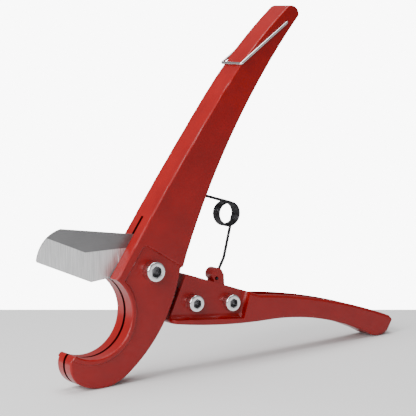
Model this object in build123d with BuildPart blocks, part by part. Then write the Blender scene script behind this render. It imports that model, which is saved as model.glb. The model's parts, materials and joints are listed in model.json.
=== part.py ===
from build123d import *
from math import atan2, cos, degrees, hypot, radians, sin
import os

# Quick-cut plastic pipe cutter, standing on its hook and on the end of its lower handle.
# Millimetres. +X runs from the blade to the grip, +Z is up, and Y = 0 is the plane of the blade.
# Profiles are drawn in the plane of the blade as (x, z) from the pivot's axis. The side with the
# screw heads is -Y. The origin is on the floor, under the middle of the tool.

# ---- overall ----------------------------------------------------------------------------------
body_t = 16.0  # width of the upper handle and of the rims of hook and head
rim_step = 1.0  # depth of the recess in each side of the head and hook
grip_t = 15.0  # width of the lower handle
web_t = 7.2  # width of the block that holds the tang
blade_t = 1.8
blade_side_gap = 0.1  # on each side of the blade in its slots
joint_gap = 0.3  # between pieces that move past each other

# ---- hook and pipe seat -----------------------------------------------------------------------
seat_centre = (-32.8, -18.1)
seat_r = 20.9
seat_top_angle = 51.0
seat_end_angle = -123.5
seat_rim = 2.7  # width of the raised rim along the seat
seat_end_r = 1.3
hook_back = (-16.4, -50.0)
hook_heel = (-41.6, -50.9)
hook_toe = (-46.9, -39.9)

# ---- upper handle -----------------------------------------------------------------------------
front_middle = (11.9, 40.6)
front_bend = (44.9, 82.3)
front_end = (86.7, 123.3)
back_end = (93.8, 118.8)
back_middle = (46.3, 55.7)
step_outer = (18.5, 0.1)  # the cheeks of the handle end here, and the head is narrower below
step_inner = (17.3, -1.5)
neck_back = (7.4, -25.3)
cheek_t = 2.9
front_wall = 3.2
solid_end = 20.0  # solid length at the end of the upper handle
head_boss_r = 21.0  # the head is solid, but for the blade slot, up to here from the pivot
recess_corner = (-2.9, 13.2)  # top front corner of the recess in the head
recess_corner_r = 2.5
recess_top_angle = -34.0
recess_front_angle = -126.0
edge_round = 0.9
rim_round = 0.8

# ---- blade ------------------------------------------------------------------------------------
closing_deg = 63.2  # travel from the stored pose to closed
nose = [(-44.0, 25.3), (-53.4, 20.6), (-58.4, 11.8)]
edge_start = (-58.1, 11.0)
edge_tip = (-29.6, -2.6)
heel_end = (-19.6, -1.9)
back_end_point = (3.1, 16.5)
hub_r = 15.8
bevel_w = 12.4  # width of the ground bevel
heel_bevel_w = 14.0
edge_land = 0.3  # thickness left at the cutting edge
tang_top = [(12.0, -10.3), (54.0, -20.4)]
tang_bottom = [(52.4, -29.4), (13.0, -24.4)]
slot_r = 26.2  # reach of the blade slot round the pivot
slot_run_out = 1.0  # room left beyond the closed cutting edge

# ---- lower handle -----------------------------------------------------------------------------
block_foot = (10.1, -28.4)
block_top = (22.0, -5.1)
block_rear = (58.8, -19.4)
grip_shoulder = (63.0, -21.1)
grip_middle = (103.5, -29.3)
grip_tip = (145.2, -44.2)
claw_top = (147.3, -46.5)
claw_half = 6.1  # half the width of the claw that rests on the floor
claw_x = 137.7
claw_rise = 2.1
claw_tip_r = 0.8
claw_corner_r = 3.0
belly = (68.0, -35.0)
underside = (103.2, -40.1)
block_bottom = (38.6, -33.1)
recess_floor = [(0.0, -25.4), (52.6, -31.8)]
recess_rear = (57.2, -19.0)
recess_fillet = 2.5
flange_corner_r = 4.0
grip_round = 1.5
grip_wall = 2.3
grip_floor = 2.4
grip_channel = (61.5, 133.0)
lug_centre = (40.6, -8.0)
lug_r = 3.3
lug_t = 6.6

# ---- fasteners --------------------------------------------------------------------------------
m6_r = 3.0
m6_head = (5.0, 6.0)  # radius, height
m6_hex = 5.0
m5_r = 2.5
m5_head = (4.25, 5.0)
m5_hex = 4.0
m5_length = 14.0
running_gap = 0.05  # radial, pieces turning on a pin
screw_gap = 0.15  # radial, clamp screws in their holes
washer_gap = 0.1  # radial, washers round their screws
tang_gap = 0.2  # round the tang in its slot
clamp_front = (24.8, -20.0)
clamp_rear = (46.2, -22.8)
pivot_washer = (6.0, 1.0)  # radius, thickness
locknut_hex = 10.0
locknut_hex_h = 3.6
locknut_h = 5.0
locknut_collar_r = 4.4
insert_r = 3.7
insert_h = 1.2
insert_sunk = 0.3  # the insert ends this far below the collar
head_chamfer = 0.4
end_chamfer = 0.5
m5_washer = (4.6, 1.2)
m5_nut_hex = 8.0
m5_nut_h = 4.0

# ---- return spring and keeper bail ------------------------------------------------------------
spring_wire_r = 0.68
coil_centre = (49.5, 21.8)
coil_r = 5.8
coil_pitch = 1.4
coil_turns = 4
upper_leg_angle = 70.8
lower_leg_angle = -14.4
anchor_post = (33.0, 40.0)
anchor_post_r = 2.0
anchor_gap = 0.15
lug_hole = (40.0, -9.9)
lug_hole_r = 1.0
leg_knee = (49.5, -1.4)
leg_bend = (46.4, -6.6)
lug_bend_r = 1.3
leg_gap = 0.4  # between the lower leg and the side of the lug
leg_overlap = 0.4  # each leg starts this far inside the end of the coil
leg_past_lug = 0.6
leg_past_post = 1.6
bail_wire_r = 0.7
bail_hinge = (85.8, 116.1)
bail_seat = 0.325  # where the bridge lies, as a fraction of the upper half of the front face
bail_depth = 4.0  # how far each end of the bail reaches into the handle
bail_proud = 0.8  # the bridge's axis stands this far out of the front face

plate_t = body_t - 2 * rim_step
channel_t = body_t - 2 * cheek_t
slot_t = blade_t + 2 * blade_side_gap


def polar(centre, radius, angle):
    """The point at an angle, in degrees, and a radius from a centre."""
    return (centre[0] + radius * cos(radians(angle)), centre[1] + radius * sin(radians(angle)))


def shifted(point, step):
    """A point moved by a step."""
    return (point[0] + step[0], point[1] + step[1])


def between(start, end):
    """Direction, in degrees, and length from one point to another."""
    dx, dz = end[0] - start[0], end[1] - start[1]
    return degrees(atan2(dz, dx)), hypot(dx, dz)


def edges_at(part, y):
    """Edges that lie wholly in the planes at +y and -y."""
    found = part.edges().filter_by_position(Axis.Y, y - 0.01, y + 0.01)
    return found + part.edges().filter_by_position(Axis.Y, -y - 0.01, -y + 0.01)


# ---- profiles ---------------------------------------------------------------------------------
seat_top = polar(seat_centre, seat_r, seat_top_angle)
seat_end = polar(seat_centre, seat_r, seat_end_angle)

with BuildSketch() as body_profile:
    with BuildLine():
        front_low = ThreePointArc(seat_top, front_middle, front_bend)
        front_high = TangentArc(front_bend, front_end, tangent=front_low % 1)
        TangentArc(front_end, back_end, tangent=front_high % 1)
        ThreePointArc(back_end, back_middle, step_outer)
        Line(step_outer, step_inner)
        neck = ThreePointArc(step_inner, neck_back, hook_back)
        bottom = TangentArc(hook_back, hook_heel, tangent=neck % 1)
        toe = TangentArc(hook_heel, hook_toe, tangent=bottom % 1)
        TangentArc(hook_toe, seat_end, tangent=toe % 1)
        CenterArc(seat_centre, seat_r, seat_end_angle, seat_top_angle - seat_end_angle)
    make_face()
    fillet(body_profile.vertices().sort_by_distance(seat_end)[0], radius=seat_end_r)

floor_z = body_profile.sketch.bounding_box().min.Y

claw_start = (claw_x - claw_half, floor_z + claw_rise)
claw_end = (claw_x + claw_half, floor_z + claw_rise)
with BuildSketch() as handle_profile:
    with BuildLine():
        Polyline(block_foot, block_top, block_rear, grip_shoulder)
        ThreePointArc(grip_shoulder, grip_middle, grip_tip)
        Polyline(grip_tip, claw_top, claw_end)
        ThreePointArc(claw_end, (claw_x, floor_z), claw_start)
        ThreePointArc(claw_start, underside, belly)
        ThreePointArc(belly, block_bottom, block_foot)
    make_face()
    fillet(handle_profile.vertices().sort_by_distance(claw_top)[0], radius=claw_tip_r)
    for corner in (claw_end, claw_start):
        fillet(handle_profile.vertices().sort_by_distance(corner)[0], radius=claw_corner_r)

pivot_z = -floor_z
pivot_x = -(handle_profile.sketch.bounding_box().max.X + nose[-1][0]) / 2


def side(y):
    """The drawing plane at a given y: local x is world X, local y is world Z, both from the pivot."""
    return Plane(origin=(pivot_x, y, pivot_z), x_dir=(1, 0, 0), z_dir=(0, -1, 0))


def at(point, y):
    """World position of a profile point."""
    return Vector(pivot_x + point[0], y, pivot_z + point[1])


# Recess in the sides of head and hook: all but a rim along the seat and along the front edge.
far = 90.0
recess_front_foot = polar(recess_corner, 19.8, recess_front_angle)
with BuildSketch() as head_recess:
    with BuildLine():
        Polyline(recess_corner, polar(recess_corner, far, recess_top_angle), (far, -far), (-far, -far),
                 (-far, seat_centre[1]), seat_centre, recess_front_foot, close=True)
    make_face()
    fillet(head_recess.vertices().sort_by_distance(recess_corner)[0], radius=recess_corner_r)
    with Locations(seat_centre):
        Circle(seat_r + seat_rim, mode=Mode.SUBTRACT)

# Channel in the back of the upper handle: the front edge moved inwards, up to the solid end.
front_angle = between(seat_top, front_middle)[0]
wall_shift = polar((0, 0), front_wall, front_angle - 90)
end_angle = between(front_bend, front_end)[0]
with BuildSketch() as handle_channel:
    with BuildLine():
        low = ThreePointArc(shifted(seat_top, wall_shift), shifted(front_middle, wall_shift),
                            shifted(front_bend, wall_shift))
        high = TangentArc(low @ 1, shifted(front_end, wall_shift), tangent=low % 1)
        Polyline(high @ 1, shifted(back_end, (far, 0)), (far, 0), (0, 0), low @ 0)
    make_face()
    Circle(head_boss_r, mode=Mode.SUBTRACT)
    with Locations(Location((*polar(front_end, solid_end, end_angle + 180), 0), (0, 0, end_angle))):
        Rectangle(far, far, align=(Align.MIN, Align.CENTER), mode=Mode.SUBTRACT)

# Blade slot: a disc round the pivot, and a band that clears the closed blade through the hook.
edge_angle, edge_len = between(edge_start, edge_tip)
edge_offset = abs(edge_start[0] * edge_tip[1] - edge_tip[0] * edge_start[1]) / edge_len
closed_angle = edge_angle + closing_deg
with BuildSketch() as blade_slot:
    Circle(slot_r)
    with Locations(Location((0, 0, 0), (0, 0, closed_angle))):
        with Locations((0, -edge_offset - slot_run_out)):
            Rectangle(far, edge_offset + slot_run_out + hub_r + 2, align=(Align.MAX, Align.MIN))

# Middle of the bail's bridge where it lies across the front face.
bail_bridge_foot = front_high @ bail_seat
bail_bridge = polar((bail_bridge_foot.X, bail_bridge_foot.Y), bail_proud, end_angle + 90)

# ---- upper body -------------------------------------------------------------------------------
body_outline = body_profile.sketch.face().outer_wire()


def on_outline(edge):
    """Whether an edge lies on the outline of the upper body, seen from the side."""
    middle = edge @ 0.5
    return body_outline.distance_to(Vector(middle.X - pivot_x, middle.Z - pivot_z, 0)) < 0.05


with BuildPart() as upper_body:
    with BuildSketch(side(0)):
        add(body_profile.sketch)
    extrude(amount=body_t / 2, both=True)
    for hand in (1, -1):
        with BuildSketch(side(-hand * plate_t / 2)):
            add(head_recess.sketch)
        extrude(amount=hand * body_t, mode=Mode.SUBTRACT)
    fillet(edges_at(upper_body, plate_t / 2).filter_by(on_outline), radius=edge_round)
    fillet(edges_at(upper_body, body_t / 2), radius=rim_round)
    with BuildSketch(side(0)):
        add(blade_slot.sketch)
    extrude(amount=slot_t / 2, both=True, mode=Mode.SUBTRACT)
    with BuildSketch(side(0)):
        add(handle_channel.sketch)
    extrude(amount=channel_t / 2, both=True, mode=Mode.SUBTRACT)
    with BuildSketch(side(0)):
        with Locations(anchor_post):
            Circle(anchor_post_r)
    extrude(amount=channel_t / 2 + 0.5, both=True)
    with BuildSketch(side(0)):
        Circle(m6_r + running_gap)
        with Locations(bail_hinge):
            Circle(bail_wire_r + running_gap)
        with Locations(bail_bridge):
            Circle(bail_wire_r + joint_gap)
    extrude(amount=body_t, both=True, mode=Mode.SUBTRACT)

# ---- blade ------------------------------------------------------------------------------------
hub_front = polar((0, 0), hub_r, 200)
hub_low = polar((0, 0), hub_r, 262)
with BuildSketch() as tang_profile:
    with BuildLine():
        Polyline(tang_top[0], tang_top[1], tang_bottom[0], tang_bottom[1], hub_low, close=True)
    make_face()

with BuildPart() as blade:
    with BuildSketch(side(0)):
        with BuildLine():
            ThreePointArc(*nose)
            Polyline(nose[-1], edge_start, edge_tip, heel_end, hub_front)
            ThreePointArc(hub_front, polar((0, 0), hub_r, 231), hub_low)
            Polyline(hub_low, tang_bottom[1], tang_bottom[0], tang_top[1], tang_top[0])
            ThreePointArc(tang_top[0], polar((0, 0), hub_r + 0.2, 17), back_end_point)
            Line(back_end_point, nose[0])
        make_face()
    extrude(amount=blade_t / 2, both=True)
    for start, end, width, before, after in (
        (edge_tip, edge_start, bevel_w, 8.0, 8.0),
        (heel_end, edge_tip, heel_bevel_w, 6.0, 40.0),
    ):
        direction, length = between(start, end)
        run = polar((0, 0), 1, direction)
        foot = at(polar(start, before, direction + 180), 0)
        for hand in (1, -1):
            grind = Plane(origin=foot, x_dir=(0, hand, 0), z_dir=(run[0], 0, run[1]))
            rise = grind.y_dir.dot(Vector(-run[1], 0, run[0]))
            into = -1 if rise > 0 else 1
            slope = (blade_t - edge_land) / 2 / width
            with BuildSketch(grind):
                with BuildLine():
                    Polyline((blade_t / 2, into * width), (blade_t / 2 + 1, into * width),
                             (blade_t / 2 + 1, -into * 2),
                             (edge_land / 2 - 2 * slope, -into * 2), close=True)
                make_face()
            extrude(amount=before + length + after, mode=Mode.SUBTRACT)
    with BuildSketch(side(0)):
        Circle(m6_r + running_gap)
        with Locations(clamp_front, clamp_rear):
            Circle(m5_r + screw_gap)
    extrude(amount=blade_t, both=True, mode=Mode.SUBTRACT)

# ---- lower handle -----------------------------------------------------------------------------
with BuildPart() as recess_tool:
    with BuildSketch(side(-web_t / 2)):
        with BuildLine():
            Polyline(recess_floor[0], recess_floor[1], recess_rear, (recess_rear[0] + 5, far),
                     (-far, far), (-far, recess_floor[0][1]), close=True)
        make_face()
    extrude(amount=grip_t)
    inner_edges = recess_tool.edges().filter_by_position(Axis.Y, -web_t / 2 - 0.01, -web_t / 2 + 0.01)
    fillet(inner_edges, radius=recess_fillet)

with BuildPart() as lower_handle:
    with BuildSketch(side(0)):
        add(handle_profile.sketch)
    extrude(amount=grip_t / 2, both=True)
    front_mid = shifted(block_foot, ((block_top[0] - block_foot[0]) / 2, (block_top[1] - block_foot[1]) / 2))
    corners = [lower_handle.edges().sort_by_distance(at(front_mid, y))[0] for y in (-grip_t / 2, grip_t / 2)]
    fillet(corners, radius=flange_corner_r)
    fillet(edges_at(lower_handle, grip_t / 2), radius=grip_round)
    add(recess_tool.part, mode=Mode.SUBTRACT)
    add(mirror(recess_tool.part, about=Plane.XZ, mode=Mode.PRIVATE), mode=Mode.SUBTRACT)
    with BuildSketch(side(0)):
        with BuildLine():
            Polyline((grip_channel[0], 0), (grip_channel[0], belly[1] + grip_floor),
                     shifted(belly, (0, grip_floor)))
            ThreePointArc(shifted(belly, (0, grip_floor)), shifted(underside, (0, grip_floor)),
                          shifted(claw_start, (0, grip_floor)))
            Polyline(shifted(claw_start, (0, grip_floor)), (grip_channel[1], floor_z + far / 9),
                     (grip_channel[1], 0), (grip_channel[0], 0))
        make_face()
    extrude(amount=grip_t / 2 - grip_wall, both=True, mode=Mode.SUBTRACT)
    with BuildSketch(side(0)):
        with Locations(lug_centre):
            Circle(lug_r)
        with Locations(shifted(lug_centre, (0.8, -lug_r))):
            Rectangle(2 * lug_r - 0.6, 2 * lug_r)
    extrude(amount=lug_t / 2, both=True)
    with BuildSketch(side(0)):
        with Locations(lug_hole):
            Circle(lug_hole_r)
        with Locations(clamp_front, clamp_rear):
            Circle(m5_r + screw_gap)
    extrude(amount=grip_t, both=True, mode=Mode.SUBTRACT)
    with BuildSketch(side(0)):
        add(tang_profile.sketch)
        offset(amount=tang_gap)
    extrude(amount=slot_t / 2, both=True, mode=Mode.SUBTRACT)


# ---- fasteners --------------------------------------------------------------------------------
def cap_screw(point, seat_y, radius, length, head, hexagon):
    """Socket head cap screw, its head seated at y = -seat_y and its end pointing to +Y."""
    head_radius, head_height = head
    with BuildPart() as screw:
        with BuildSketch(side(-seat_y)):
            with Locations(point):
                Circle(head_radius)
        extrude(amount=head_height)
        chamfer(screw.edges().sort_by(Axis.Y)[0], length=head_chamfer)
        with BuildSketch(side(-seat_y - head_height)):
            with Locations(point):
                RegularPolygon(hexagon / 2, 6, major_radius=False)
        extrude(amount=-head_height / 2, mode=Mode.SUBTRACT)
        with BuildSketch(side(-seat_y)):
            with Locations(point):
                Circle(radius)
        extrude(amount=-length)
        chamfer(screw.edges().sort_by(Axis.Y)[-1], length=end_chamfer)
    return screw


def ring(point, y, outer, inner, height):
    """Washer that starts at y and grows towards +Y."""
    with BuildPart() as washer:
        with BuildSketch(side(y)):
            with Locations(point):
                Circle(outer)
                Circle(inner, mode=Mode.SUBTRACT)
        extrude(amount=-height)
    return washer


def hex_nut(point, y, across, bore, height, collar=None):
    """Nut that starts at y, its corners rounded off, with an optional collar (radius, height)."""
    with BuildPart() as nut:
        with BuildSketch(side(y)):
            with Locations(point):
                RegularPolygon(across / 2, 6, major_radius=False)
        extrude(amount=-height)
        with BuildSketch(side(y)):
            with Locations(point):
                Circle(across / 2 * 1.13)
        extrude(amount=-height, mode=Mode.INTERSECT)
        if collar:
            with BuildSketch(side(y)):
                with Locations(point):
                    Circle(collar[0])
            extrude(amount=-collar[1])
            fillet(nut.edges().sort_by(Axis.Y)[-1], radius=0.5)
        with BuildSketch(side(y)):
            with Locations(point):
                Circle(bore)
        extrude(amount=-2 * height, mode=Mode.SUBTRACT)
    return nut


pivot = (0.0, 0.0)
washer_y = plate_t / 2
locknut_y = washer_y + pivot_washer[1]
pivot_screw = cap_screw(pivot, plate_t / 2, m6_r, plate_t + pivot_washer[1] + locknut_h, m6_head, m6_hex)
pivot_washer_part = ring(pivot, washer_y, pivot_washer[0], m6_r + washer_gap, pivot_washer[1])
pivot_locknut = hex_nut(pivot, locknut_y, locknut_hex, m6_r, locknut_hex_h,
                        collar=(locknut_collar_r, locknut_h))
insert_y = locknut_y + locknut_h - insert_h
with BuildPart() as locknut:
    add(pivot_locknut.part)
    with BuildSketch(side(insert_y)):
        Circle(insert_r)
    extrude(amount=-insert_h, mode=Mode.SUBTRACT)
locknut_insert = ring(pivot, insert_y, insert_r, m6_r, insert_h - insert_sunk)

clamps = []
for spot in (clamp_front, clamp_rear):
    screw = cap_screw(spot, web_t / 2, m5_r, m5_length, m5_head, m5_hex)
    washer = ring(spot, web_t / 2, m5_washer[0], m5_r + washer_gap, m5_washer[1])
    nut = hex_nut(spot, web_t / 2 + m5_washer[1], m5_nut_hex, m5_r, m5_nut_h)
    clamps.append((screw, washer, nut))

# ---- return spring ----------------------------------------------------------------------------
# Coiled clockwise from the leg hooked round the post in the channel to the leg hooked in the lug.
coil_length = coil_pitch * (coil_turns + (upper_leg_angle - lower_leg_angle) / 360)
upper_y = -coil_length / 2
lug_y = lug_t / 2 + leg_gap + spring_wire_r
hook_r = anchor_post_r + spring_wire_r + anchor_gap
hook_x = anchor_post[0] - hook_r
hook_z = anchor_post[1] + hook_r
upper_start = polar(coil_centre, coil_r, upper_leg_angle)
leg_slope = upper_leg_angle + 90
upper_foot = polar(upper_start, -leg_overlap, leg_slope)
hook_foot = polar(upper_start, (hook_x - upper_start[0]) / cos(radians(leg_slope)), leg_slope)

coil_plane = Plane(origin=at(coil_centre, upper_y), z_dir=(0, 1, 0),
                   x_dir=(cos(radians(upper_leg_angle)), 0, sin(radians(upper_leg_angle))))
coil_curve = coil_plane.location * Helix(coil_pitch, coil_length, coil_r)

with BuildPart() as return_spring:
    with BuildLine() as coil_path:
        add(coil_curve)
    with BuildSketch(Plane(origin=coil_path.line @ 0, z_dir=coil_path.line % 0)):
        Circle(spring_wire_r)
    sweep(path=coil_path.line, is_frenet=True)
    with BuildLine() as upper_leg:
        FilletPolyline(at(upper_foot, upper_y), at(hook_foot, upper_y), at((hook_x, hook_z), upper_y),
                       at((anchor_post[0] + leg_past_post, hook_z), upper_y), radius=hook_r * 0.8)
    with BuildSketch(Plane(origin=upper_leg.line @ 0, z_dir=upper_leg.line % 0)):
        Circle(spring_wire_r)
    sweep(path=upper_leg.line)
    with BuildLine() as lower_leg:
        FilletPolyline(coil_path.line @ 1 - coil_path.line % 1 * leg_overlap, at(leg_knee, lug_y),
                       at(leg_bend, lug_y), at(lug_hole, lug_y),
                       at(lug_hole, -lug_t / 2 - leg_past_lug), radius=lug_bend_r)
    with BuildSketch(Plane(origin=lower_leg.line @ 0, z_dir=lower_leg.line % 0)):
        Circle(spring_wire_r)
    sweep(path=lower_leg.line)

# ---- keeper bail ------------------------------------------------------------------------------
bail_bend_r = joint_gap + bail_wire_r  # the wire turns down as soon as it leaves the handle
bail_y = body_t / 2 + bail_bend_r
with BuildPart() as keeper_bail:
    with BuildLine() as bail_path:
        FilletPolyline(at(bail_hinge, -bail_depth), at(bail_hinge, -bail_y), at(bail_bridge, -bail_y),
                       at(bail_bridge, bail_y), at(bail_hinge, bail_y), at(bail_hinge, bail_depth),
                       radius=bail_bend_r)
    with BuildSketch(Plane(origin=bail_path.line @ 0, z_dir=bail_path.line % 0)):
        Circle(bail_wire_r)
    sweep(path=bail_path.line)

# ---- export -----------------------------------------------------------------------------------
nodes = {
    "upper_body": upper_body,
    "lower_handle": lower_handle,
    "blade": blade,
    "pivot_screw": pivot_screw,
    "pivot_washer": pivot_washer_part,
    "pivot_locknut": locknut,
    "locknut_insert": locknut_insert,
    "clamp_screw_front": clamps[0][0],
    "clamp_washer_front": clamps[0][1],
    "clamp_nut_front": clamps[0][2],
    "clamp_screw_rear": clamps[1][0],
    "clamp_washer_rear": clamps[1][1],
    "clamp_nut_rear": clamps[1][2],
    "return_spring": return_spring,
    "keeper_bail": keeper_bail,
}
os.makedirs("parts", exist_ok=True)
for label, builder in nodes.items():
    builder.part.label = label
    export_step(builder.part, f"parts/{label}.step")
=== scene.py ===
import json
import math

import bmesh
import bpy
from mathutils import Matrix, Vector


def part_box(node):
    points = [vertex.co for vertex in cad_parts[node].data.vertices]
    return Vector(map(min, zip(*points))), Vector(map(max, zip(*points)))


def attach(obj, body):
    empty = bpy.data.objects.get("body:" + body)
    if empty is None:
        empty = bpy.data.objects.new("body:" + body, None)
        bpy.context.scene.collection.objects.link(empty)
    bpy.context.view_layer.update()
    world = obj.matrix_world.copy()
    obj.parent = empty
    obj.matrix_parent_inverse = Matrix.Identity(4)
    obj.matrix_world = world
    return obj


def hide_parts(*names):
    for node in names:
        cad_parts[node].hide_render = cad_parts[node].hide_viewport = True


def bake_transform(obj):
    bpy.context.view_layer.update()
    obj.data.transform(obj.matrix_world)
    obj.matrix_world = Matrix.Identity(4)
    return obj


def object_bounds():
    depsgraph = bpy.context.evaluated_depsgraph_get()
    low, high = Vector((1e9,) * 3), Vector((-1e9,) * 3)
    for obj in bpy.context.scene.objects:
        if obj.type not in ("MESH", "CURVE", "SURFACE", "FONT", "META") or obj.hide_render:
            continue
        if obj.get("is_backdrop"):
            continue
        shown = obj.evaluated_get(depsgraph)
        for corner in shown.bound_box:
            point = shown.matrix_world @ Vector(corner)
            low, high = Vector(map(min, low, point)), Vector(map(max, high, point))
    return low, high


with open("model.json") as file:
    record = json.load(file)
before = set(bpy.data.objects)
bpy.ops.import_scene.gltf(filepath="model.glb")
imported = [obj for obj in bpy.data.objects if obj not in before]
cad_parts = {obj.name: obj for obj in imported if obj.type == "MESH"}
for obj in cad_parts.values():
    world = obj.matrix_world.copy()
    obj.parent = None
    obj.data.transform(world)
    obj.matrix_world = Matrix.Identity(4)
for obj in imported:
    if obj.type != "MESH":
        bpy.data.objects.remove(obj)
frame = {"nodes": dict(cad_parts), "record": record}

# Looks of the quick-cut pipe cutter: materials for every CAD node, detailed screws, a spring of a coil and
# two legs, and a plain studio round them. Places in at() are in millimetres from the pivot.


def plain(value):
    if isinstance(value, dict):
        return {str(k): plain(v) for k, v in value.items()}
    if isinstance(value, (list, tuple, Vector)):
        return [plain(v) for v in value]
    return float(value) if isinstance(value, (int, float)) else value


bounds_before = plain(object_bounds())

nodes = frame["nodes"]
MM = 0.001
pivot_low, pivot_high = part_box("pivot_washer")
pivot = Vector(((pivot_low.x + pivot_high.x) / 2, 0, (pivot_low.z + pivot_high.z) / 2))


def at(x, y, z):
    """Row-frame position of a point given in millimetres from the pivot's axis."""
    return pivot + Vector((x, y, z)) * MM


# ---- material helpers -------------------------------------------------------------------------
class Tree:
    """A small wrapper that adds nodes to a material and links them."""

    def __init__(self, name):
        self.material = bpy.data.materials.new(name)
        self.material.use_nodes = True
        self.nodes = self.material.node_tree.nodes
        self.links = self.material.node_tree.links
        self.shader = self.nodes["Principled BSDF"]
        self.coords = self.nodes.new("ShaderNodeTexCoord").outputs["Object"]

    def put(self, socket, value):
        if isinstance(value, bpy.types.NodeSocket):
            self.links.new(value, socket)
        else:
            socket.default_value = value

    def set(self, **inputs):
        for name, value in inputs.items():
            self.put(self.shader.inputs[name.replace("_", " ")], value)

    def scaled(self, scale, turn=(0, 0, 0)):
        node = self.nodes.new("ShaderNodeMapping")
        self.links.new(self.coords, node.inputs["Vector"])
        node.inputs["Scale"].default_value = scale
        node.inputs["Rotation"].default_value = turn
        return node.outputs["Vector"]

    def noise(self, scale, detail=3.0, rough=0.5, vector=None):
        node = self.nodes.new("ShaderNodeTexNoise")
        self.links.new(vector or self.coords, node.inputs["Vector"])
        node.inputs["Scale"].default_value = scale
        node.inputs["Detail"].default_value = detail
        node.inputs["Roughness"].default_value = rough
        return node.outputs["Fac"]

    def math(self, operation, a, b=0.0, clamp=False):
        node = self.nodes.new("ShaderNodeMath")
        node.operation = operation
        node.use_clamp = clamp
        self.put(node.inputs[0], a)
        self.put(node.inputs[1], b)
        return node.outputs[0]

    def spread(self, value, low, high, a=0.0, b=1.0):
        """Maps value from low..high to a..b, clamped."""
        node = self.nodes.new("ShaderNodeMapRange")
        self.put(node.inputs["Value"], value)
        for name, number in (("From Min", low), ("From Max", high), ("To Min", a), ("To Max", b)):
            node.inputs[name].default_value = number
        return node.outputs["Result"]

    def mix(self, factor, a, b):
        node = self.nodes.new("ShaderNodeMix")
        node.data_type = "RGBA"
        self.put(node.inputs["Factor"], factor)
        self.put(node.inputs["A"], a)
        self.put(node.inputs["B"], b)
        return node.outputs["Result"]

    def axis(self, index):
        node = self.nodes.new("ShaderNodeSeparateXYZ")
        self.links.new(self.coords, node.inputs[0])
        return node.outputs[index]

    def normal_y(self):
        node = self.nodes.new("ShaderNodeSeparateXYZ")
        self.links.new(self.nodes.new("ShaderNodeNewGeometry").outputs["Normal"], node.inputs[0])
        return node.outputs[1]

    def along(self, origin, direction):
        """Distance of the shaded point from origin along a direction, in millimetres."""
        shift = self.nodes.new("ShaderNodeVectorMath")
        shift.operation = "SUBTRACT"
        self.links.new(self.coords, shift.inputs[0])
        shift.inputs[1].default_value = origin
        dot = self.nodes.new("ShaderNodeVectorMath")
        dot.operation = "DOT_PRODUCT"
        self.links.new(shift.outputs[0], dot.inputs[0])
        dot.inputs[1].default_value = Vector(direction).normalized() / MM
        return dot.outputs["Value"]

    def bump(self, height, strength, distance):
        node = self.nodes.new("ShaderNodeBump")
        self.links.new(height, node.inputs["Height"])
        node.inputs["Strength"].default_value = strength
        node.inputs["Distance"].default_value = distance
        self.links.new(node.outputs["Normal"], self.shader.inputs["Normal"])


SLOT_WALL = 1.0 * MM  # the walls of the blade's slots lie this far from the middle plane
# near-black painted shade for the walls of the blade's narrow slots
SLOT_SHADE = (0.012, 0.0012, 0.001, 1)


def paint(name, base, deep):
    """Red powder coat: fine orange peel, uneven colour and gloss, a faint casting seam, and painted shade
    on the walls of the blade's slots.
    """
    t = Tree(name)
    clouds = t.noise(55, 4, 0.6)
    peel = t.noise(1500, 2, 0.5)
    specks = t.noise(5200, 1, 0.5)
    colour = t.mix(t.spread(clouds, 0.35, 0.65), base, deep)
    colour = t.mix(t.spread(specks, 0.66, 0.74, 0.0, 0.35), colour, (*[c * 1.35 for c in base[:3]], 1))
    off_middle = t.math("ABSOLUTE", t.axis(1))
    seam = t.spread(off_middle, 0.00008, 0.00024, 1.0, 0.0)
    # Painted shade: the slot walls, facing along Y, are darkened to near black as if in the shade of the
    # narrow slot.
    off_wall = t.math("ABSOLUTE", t.math("SUBTRACT", off_middle, SLOT_WALL))
    slot_shade_mask = t.spread(off_wall, 0.00003, 0.00006, 1.0, 0.0)
    facing = t.spread(t.math("ABSOLUTE", t.normal_y()), 0.90, 0.95, 0.0, 1.0)
    colour = t.mix(t.math("MULTIPLY", slot_shade_mask, facing), colour, SLOT_SHADE)
    height = t.math("ADD", t.math("MULTIPLY", peel, 0.8), t.math("MULTIPLY", seam, 0.5))
    t.set(Base_Color=colour, Roughness=t.spread(t.noise(260, 3), 0.3, 0.7, 0.30, 0.42),
          Specular_IOR_Level=0.30, Coat_Weight=0.16, Coat_Roughness=0.12)
    t.bump(height, 0.32, 0.00006)
    return t.material


def metal(name, colour, roughness, grain=(900, 900, 900), depth=0.08):
    """Plated metal with fine uneven gloss."""
    t = Tree(name)
    fine = t.noise(1.0, 3, 0.6, t.scaled(grain))
    clouds = t.noise(420, 2, 0.5)
    tint = t.mix(t.spread(clouds, 0.3, 0.7), colour, (*[c * 0.86 for c in colour[:3]], 1))
    t.set(Base_Color=tint, Metallic=1.0,
          Roughness=t.spread(fine, 0.3, 0.7, roughness * 0.75, roughness * 1.3))
    t.bump(fine, depth, 0.00003)
    return t.material


def upward_normal(direction):
    """The normal of a direction, in the plane of the blade, that points up."""
    normal = Vector((-direction[2], 0, direction[0])).normalized()
    return normal if normal.z > 0 else -normal


TANG_SHADE_START = 7.0  # the painted shade on the tang, where it lies between the head and the lower handle, starts this far behind the pivot, in millimetres


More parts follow.
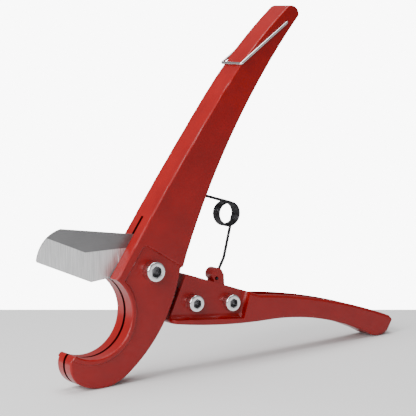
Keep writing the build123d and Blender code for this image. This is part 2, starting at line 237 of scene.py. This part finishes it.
def blade_steel(name, edge_point, edge_direction, bevel, heel_direction, heel_bevel):
    """Satin steel, with painted shade along the tang between the head and the lower handle, and a lighter
    ground bevel streaked square to the edge.
    """
    t = Tree(name)

    def below(direction, width):
        height = t.along(edge_point, upward_normal(direction))
        return t.spread(height, width - 0.1, width + 0.1, 1.0, 0.0)

    ground = t.math("MAXIMUM", below(edge_direction, bevel), below(heel_direction, heel_bevel))
    turn = math.atan2(edge_direction[2], edge_direction[0])
    streaks = t.noise(1.0, 4, 0.65, t.scaled((2600, 40, 60), (0, turn, 0)))
    rolled = t.noise(1.0, 3, 0.6, t.scaled((60, 300, 1500), (0, turn, 0)))
    clouds = t.noise(40, 3, 0.5)
    flat = t.mix(t.spread(clouds, 0.3, 0.7), (0.20, 0.20, 0.205, 1), (0.24, 0.24, 0.245, 1))
    bright = t.mix(t.spread(streaks, 0.35, 0.65), (0.55, 0.555, 0.56, 1), (0.86, 0.865, 0.87, 1))
    grain = t.nodes.new("ShaderNodeMix")
    grain.data_type = "FLOAT"
    t.put(grain.inputs["Factor"], ground)
    t.put(grain.inputs["A"], rolled)
    t.put(grain.inputs["B"], streaks)
    # Painted shade: behind the pivot the tang is darkened to near black, standing in for the shade in the
    # gap between the head and the lower handle.
    tang = t.spread(t.along(pivot, (1, 0, 0)), TANG_SHADE_START, TANG_SHADE_START + 2.0, 0.0, 0.9)
    t.set(Base_Color=t.mix(tang, t.mix(ground, flat, bright), (0.02, 0.02, 0.022, 1)), Metallic=0.85,
          Roughness=t.spread(grain.outputs[0], 0.3, 0.7, 0.34, 0.50))
    t.bump(grain.outputs[0], 0.16, 0.00004)
    return t.material


RED = (0.235, 0.0008, 0.0006, 1)
RED_DEEP = (0.19, 0.0006, 0.0005, 1)
edge_tip = at(-29.6, 0, -2.6)  # where the cutting edge and the heel meet
edge_run = Vector((-28.5, 0, 13.6))
heel_run = Vector((10.0, 0, -0.26))
bevel_width, heel_width = 12.4, 15.0

materials = {
    "body_paint": paint("body_red", RED, RED_DEEP),
    "lever_paint": paint("lever_red", tuple(c * 0.94 for c in RED[:3]) + (1,), RED_DEEP),
    "blade_steel": blade_steel("blade_steel", edge_tip, edge_run, bevel_width, heel_run, heel_width),
    "screw_zinc": metal("bright_zinc", (0.80, 0.81, 0.82, 1), 0.20),
    # darker zinc for the inside of the screw sockets: painted shade
    "socket_shade": metal("socket_painted_shade", (0.26, 0.26, 0.27, 1), 0.30),
    "bail_wire": metal("bright_wire", (0.78, 0.78, 0.79, 1), 0.16, (300, 300, 300)),
    "spring_black": metal("black_oxide", (0.035, 0.035, 0.038, 1), 0.34, (700, 700, 700), 0.12),
}
insert = Tree("nylon")
insert.set(Base_Color=insert.mix(insert.noise(600, 2), (0.50, 0.56, 0.66, 1), (0.62, 0.67, 0.75, 1)),
           Roughness=insert.spread(insert.noise(900, 2), 0.3, 0.7, 0.42, 0.6), Subsurface_Weight=0.05)
materials["nut_insert"] = insert.material

for part in frame["record"]["subparts"]:
    mesh = nodes[part["node"]].data
    mesh.materials.clear()
    mesh.materials.append(materials[part["material_slot"]])


SHARP_ANGLE = math.radians(38)


def finished(name, bm, slot, body=None, replaces=()):
    """Makes an object of a bmesh in the row frame, with the material of its slot, and hangs it on its body
    if one is given.
    """
    mesh = bpy.data.meshes.new(name)
    bm.to_mesh(mesh)
    bm.free()
    mesh.shade_smooth()
    mesh.set_sharp_from_angle(angle=SHARP_ANGLE)
    mesh.materials.append(materials[slot])
    obj = bpy.data.objects.new(name, mesh)
    bpy.context.scene.collection.objects.link(obj)
    if body:
        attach(obj, body)
    if replaces:
        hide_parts(*replaces)
    return obj


# ---- screws: knurled head, hexagon socket with painted shade, threaded end ---------------------
def lathe(bm, rings, axis_x, axis_z, sides):
    """Rings of (y, radius or function of angle) joined into a closed skin round an axis along Y."""
    loops = []
    for y, radius in rings:
        loop = []
        for i in range(sides):
            a = 2 * math.pi * i / sides
            r = radius(a) if callable(radius) else radius
            loop.append(bm.verts.new((axis_x + r * math.cos(a), y, axis_z + r * math.sin(a))))
        loops.append(loop)
    for low, high in zip(loops, loops[1:]):
        for i in range(sides):
            j = (i + 1) % sides
            bm.faces.new((low[i], low[j], high[j], high[i]))
    bm.faces.new(loops[0])
    bm.faces.new(list(reversed(loops[-1])))


def hexagon(across):
    """Radius of a hexagon of a width across its flats, as a function of angle."""
    half = across / 2

    def radius(a):
        step = math.pi / 3
        return half / math.cos((a + step / 2) % step - step / 2)

    return radius


SCREW_SIDES = 96
RIBS = 32
END_THREADS = 4  # modelled turns of thread, at the end that stands out of the nut


def cap_screw(node, body, head_radius, head_height, socket, thread_radius, pitch):
    """Socket head screw in the place of a CAD screw, with a ribbed head, painted shade in its socket and a
    thread.
    """
    low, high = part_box(node)
    cx, cz = (low.x + high.x) / 2, (low.z + high.z) / 2
    top, end = low.y, high.y
    seat = top + head_height
    groove = head_radius * 0.018

    def ribbed(a):
        return head_radius - groove * (0.5 + 0.5 * math.cos(a * RIBS))

    rings = [(top + head_height * 0.62, hexagon(socket * 0.98)), (top + 0.25 * MM, hexagon(socket)),
             (top + 0.02 * MM, hexagon(socket * 1.07)), (top, hexagon(socket * 1.10)),
             (top, head_radius * 0.80), (top + 0.02 * MM, head_radius * 0.86),
             (top + 0.12 * MM, head_radius * 0.93), (top + 0.42 * MM, head_radius * 0.985),
             (top + 0.60 * MM, ribbed), (seat - 0.45 * MM, ribbed),
             (seat - 0.30 * MM, head_radius * 0.985), (seat, head_radius * 0.97),
             (seat, thread_radius * 0.98)]
    start = end - 0.35 * MM - END_THREADS * pitch
    rings.append((start, thread_radius * 0.98))
    for k in range(END_THREADS):
        base = start + k * pitch
        rings += [(base + pitch * 0.15, thread_radius * 0.985), (base + pitch * 0.50, thread_radius * 0.86),
                  (base + pitch * 0.60, thread_radius * 0.86), (base + pitch * 0.95, thread_radius * 0.985)]
    rings += [(end - 0.30 * MM, thread_radius * 0.95), (end, thread_radius * 0.80)]
    bm = bmesh.new()
    lathe(bm, rings, cx, cz, SCREW_SIDES)
    bmesh.ops.recalc_face_normals(bm, faces=bm.faces)
    screw = finished(node + "_detail", bm, "screw_zinc", body, replaces=(node,))
    screw.data.materials.append(materials["socket_shade"])
    for face in screw.data.polygons:
        reach = math.hypot(face.center.x - cx, face.center.z - cz)
        if reach < socket * 0.56 and face.center.y < seat:  # inside the socket, given the darker zinc as painted shade
            face.material_index = 1


cap_screw("pivot_screw", "body", 5.0 * MM, 6.0 * MM, 5.0 * MM, 3.0 * MM, 1.0 * MM)
for clamp in ("clamp_screw_front", "clamp_screw_rear"):
    cap_screw(clamp, "lever", 4.25 * MM, 5.0 * MM, 4.0 * MM, 2.5 * MM, 0.8 * MM)


# ---- return spring: two legs and a coil ---------------------------------------------------------
def rounded(points, radius, steps=8):
    """A path through points with its corners rounded."""
    path = [points[0]]
    for a, b, c in zip(points, points[1:], points[2:]):
        u, v = (a - b).normalized(), (c - b).normalized()
        tangent = radius / math.tan(max(u.angle(v), 0.2) / 2)
        reach = min(tangent, (a - b).length * 0.45, (c - b).length * 0.45)
        start, end = b + u * reach, b + v * reach
        for k in range(steps + 1):
            t = k / steps
            path.append(start * (1 - t) ** 2 + b * 2 * t * (1 - t) + end * t ** 2)
    path.append(points[-1])
    return path


def dense(path, step):
    """The path with points added, so that none is much further than a step from the next."""
    out = [path[0]]
    for a, b in zip(path, path[1:]):
        n = max(1, int((b - a).length / step))
        out += [a.lerp(b, k / n) for k in range(1, n + 1)]
    return out


WIRE_SIDES = 16
LEG_STEP = 0.8 * MM


def tube(name, path, radius, **kept):
    """Wire along a path, its ends a little narrowed."""
    bm = bmesh.new()
    loops = []
    side = None
    for i, p in enumerate(path):
        ahead = (path[min(i + 1, len(path) - 1)] - path[max(i - 1, 0)]).normalized()
        if side is None:
            side = ahead.cross(Vector((0.3, 0.9, 0.2))).normalized()
        side = (side - ahead * side.dot(ahead)).normalized()
        up = ahead.cross(side)
        shrink = 0.75 if i in (0, len(path) - 1) else 1.0
        angles = [2 * math.pi * k / WIRE_SIDES for k in range(WIRE_SIDES)]
        loops.append([bm.verts.new(p + (side * math.cos(a) + up * math.sin(a)) * radius * shrink)
                      for a in angles])
    for low, high in zip(loops, loops[1:]):
        for k in range(WIRE_SIDES):
            j = (k + 1) % WIRE_SIDES
            bm.faces.new((low[k], low[j], high[j], high[k]))
    bm.faces.new(list(reversed(loops[0])))
    bm.faces.new(loops[-1])
    bmesh.ops.recalc_face_normals(bm, faces=bm.faces)
    return finished(name, bm, "spring_black", **kept)


# The spring's points are in millimetres from the pivot's axis, like those of the pieces that hold it.
coil_wire = 0.70 * MM
leg_wire = 0.76 * MM
coil_x, coil_z = 49.5, 21.8
coil_r = 5.8
coil_pitch = 1.4
upper_angle, lower_angle = 70.8, -14.4
turns = 4 + (upper_angle - lower_angle) / 360
half_length = coil_pitch * turns / 2
post_x, post_z = 33.0, 40.0  # the post in the channel that holds the upper leg
hook_r = 2.83
lug_x, lug_z = 40.0, -9.9  # the hole in the lug that holds the lower leg
leg_y = 4.38  # the lower leg passes beside the lug
leg_end_y = -3.9


def coil_point(share):
    """Point of the coil's wire, from its upper end, 0, to its lower end, 1."""
    a = math.radians(upper_angle - 360 * turns * share)
    y = -half_length + 2 * half_length * share
    return at(coil_x + coil_r * math.cos(a), y, coil_z + coil_r * math.sin(a))


coil_path = [coil_point(k / 300) for k in range(301)]

leg_turn = math.radians(upper_angle)
foot_x, foot_z = coil_x + coil_r * math.cos(leg_turn), coil_z + coil_r * math.sin(leg_turn)
slope = math.radians(upper_angle + 90)
run_up = (post_x - hook_r - foot_x) / math.cos(slope)
corner = (foot_x + math.cos(slope) * run_up, -half_length, foot_z + math.sin(slope) * run_up)
hook_arc = [(post_x + hook_r * math.cos(a), -half_length, post_z + hook_r * math.sin(a))
            for a in [math.radians(180 - 12 * k) for k in range(11)]]
upper_points = [(foot_x, -half_length, foot_z), corner, hook_arc[0]]
upper_path = rounded([at(*p) for p in upper_points], 2.2 * MM) + [at(*p) for p in hook_arc[1:]]

lower_points = [(55.118, half_length, 20.358), (49.5, leg_y, -1.4), (46.4, leg_y, -6.6),
                (lug_x, leg_y, lug_z), (lug_x, leg_end_y, lug_z)]
lower_path = rounded([at(*p) for p in lower_points], 1.3 * MM)

upper_leg = tube("spring_upper_leg", dense(upper_path, LEG_STEP), leg_wire)
coil_piece = tube("spring_coil", coil_path, coil_wire, replaces=("return_spring",))
lower_leg = tube("spring_lower_leg", dense(lower_path, LEG_STEP), leg_wire)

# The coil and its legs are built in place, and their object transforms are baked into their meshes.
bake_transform(coil_piece)
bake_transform(upper_leg)
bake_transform(lower_leg)

# ---- camera, floor and light ------------------------------------------------------------------
azimuth, elevation, roll = -31.564, 8.193, -2.80
view = (Matrix.Rotation(math.radians(azimuth), 4, "Z")
        @ Matrix.Rotation(math.radians(90 - elevation), 4, "X")
        @ Matrix.Rotation(math.radians(roll), 4, "Z"))
camera_data = bpy.data.cameras.new("camera")
camera_data.sensor_width = 36.0
camera_data.lens = 154.04
camera = bpy.data.objects.new("camera", camera_data)
camera.matrix_world = Matrix.Translation(at(-424.43, -754.20, 153.22)) @ view
bpy.context.scene.collection.objects.link(camera)
bpy.context.scene.camera = camera


def staged_quad(name, corners, material):
    """A flat sheet that isn't part of the tool."""
    bm = bmesh.new()
    bm.faces.new([bm.verts.new(p) for p in corners])
    mesh = bpy.data.meshes.new(name)
    bm.to_mesh(mesh)
    bm.free()
    mesh.materials.append(material)
    sheet = bpy.data.objects.new(name, mesh)
    bpy.context.scene.collection.objects.link(sheet)
    sheet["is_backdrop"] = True
    return sheet


# The floor ends in a straight edge behind the tool.
back_left = Vector((-0.0537, 0.2379, 0))
back_right = Vector((0.1735, 0.0079, 0))
edge = (back_right - back_left).normalized()
toward = Vector((edge.y, -edge.x, 0))
floor_side, floor_depth = 2.0, 3.0
far_left, far_right = back_left - edge * floor_side, back_right + edge * floor_side
grey = Tree("floor_grey")
grey.set(Base_Color=grey.mix(grey.noise(3, 2), (0.69, 0.69, 0.69, 1), (0.71, 0.71, 0.71, 1)), Roughness=0.7)
floor_corners = [far_left, far_right, far_right + toward * floor_depth, far_left + toward * floor_depth]
staged_quad("floor", floor_corners, grey.material)

# White paper far behind the tool. It is bright to the camera only, so that it lights nothing.
paper = bpy.data.materials.new("white_paper")
paper.use_nodes = True
paper.node_tree.nodes.remove(paper.node_tree.nodes["Principled BSDF"])
glow = paper.node_tree.nodes.new("ShaderNodeEmission")
glow.inputs["Color"].default_value = (1, 1, 1, 1)
glow.inputs["Strength"].default_value = 9.0
paper.node_tree.links.new(glow.outputs[0], paper.node_tree.nodes["Material Output"].inputs["Surface"])
sheet_distance = 3.0
sheet_half = 3.0
turned = camera.matrix_world.to_quaternion()
middle = camera.matrix_world.translation + turned @ Vector((0, 0, -1)) * sheet_distance
across, upward = turned @ Vector((1, 0, 0)), turned @ Vector((0, 1, 0))
signs = ((-1, -1), (1, -1), (1, 1), (-1, 1))
paper_corners = [middle + (across * i + upward * j) * sheet_half for i, j in signs]
backdrop = staged_quad("backdrop", paper_corners, paper)
for ray in ("diffuse", "glossy", "transmission", "volume_scatter", "shadow"):
    setattr(backdrop, "visible_" + ray, False)


def area(name, place, target, size, power):
    """Rectangular soft light at a place, aimed at a target."""
    light = bpy.data.lights.new(name, "AREA")
    light.shape = "RECTANGLE"
    light.size, light.size_y = size
    light.energy = power
    lamp = bpy.data.objects.new(name, light)
    aim = (Vector(target) - Vector(place)).to_track_quat("-Z", "Y").to_matrix().to_4x4()
    lamp.matrix_world = Matrix.Translation(place) @ aim
    bpy.context.scene.collection.objects.link(lamp)


area("key_left", (-0.80, -0.10, 0.60), (0, 0, 0.09), (0.5, 0.8), 14)
area("front_fill", (-1.0, -1.0, 0.70), (0, 0, 0.09), (0.6, 0.5), 11)
area("top", (0.1, 0.15, 1.0), (0, 0, 0.05), (0.8, 0.8), 10)

world = bpy.data.worlds.new("studio")
world.use_nodes = True
world.node_tree.nodes["Background"].inputs["Color"].default_value = (1, 1, 1, 1)
world.node_tree.nodes["Background"].inputs["Strength"].default_value = 0.32
bpy.context.scene.world = world

{"before": bounds_before, "after": plain(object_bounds())}
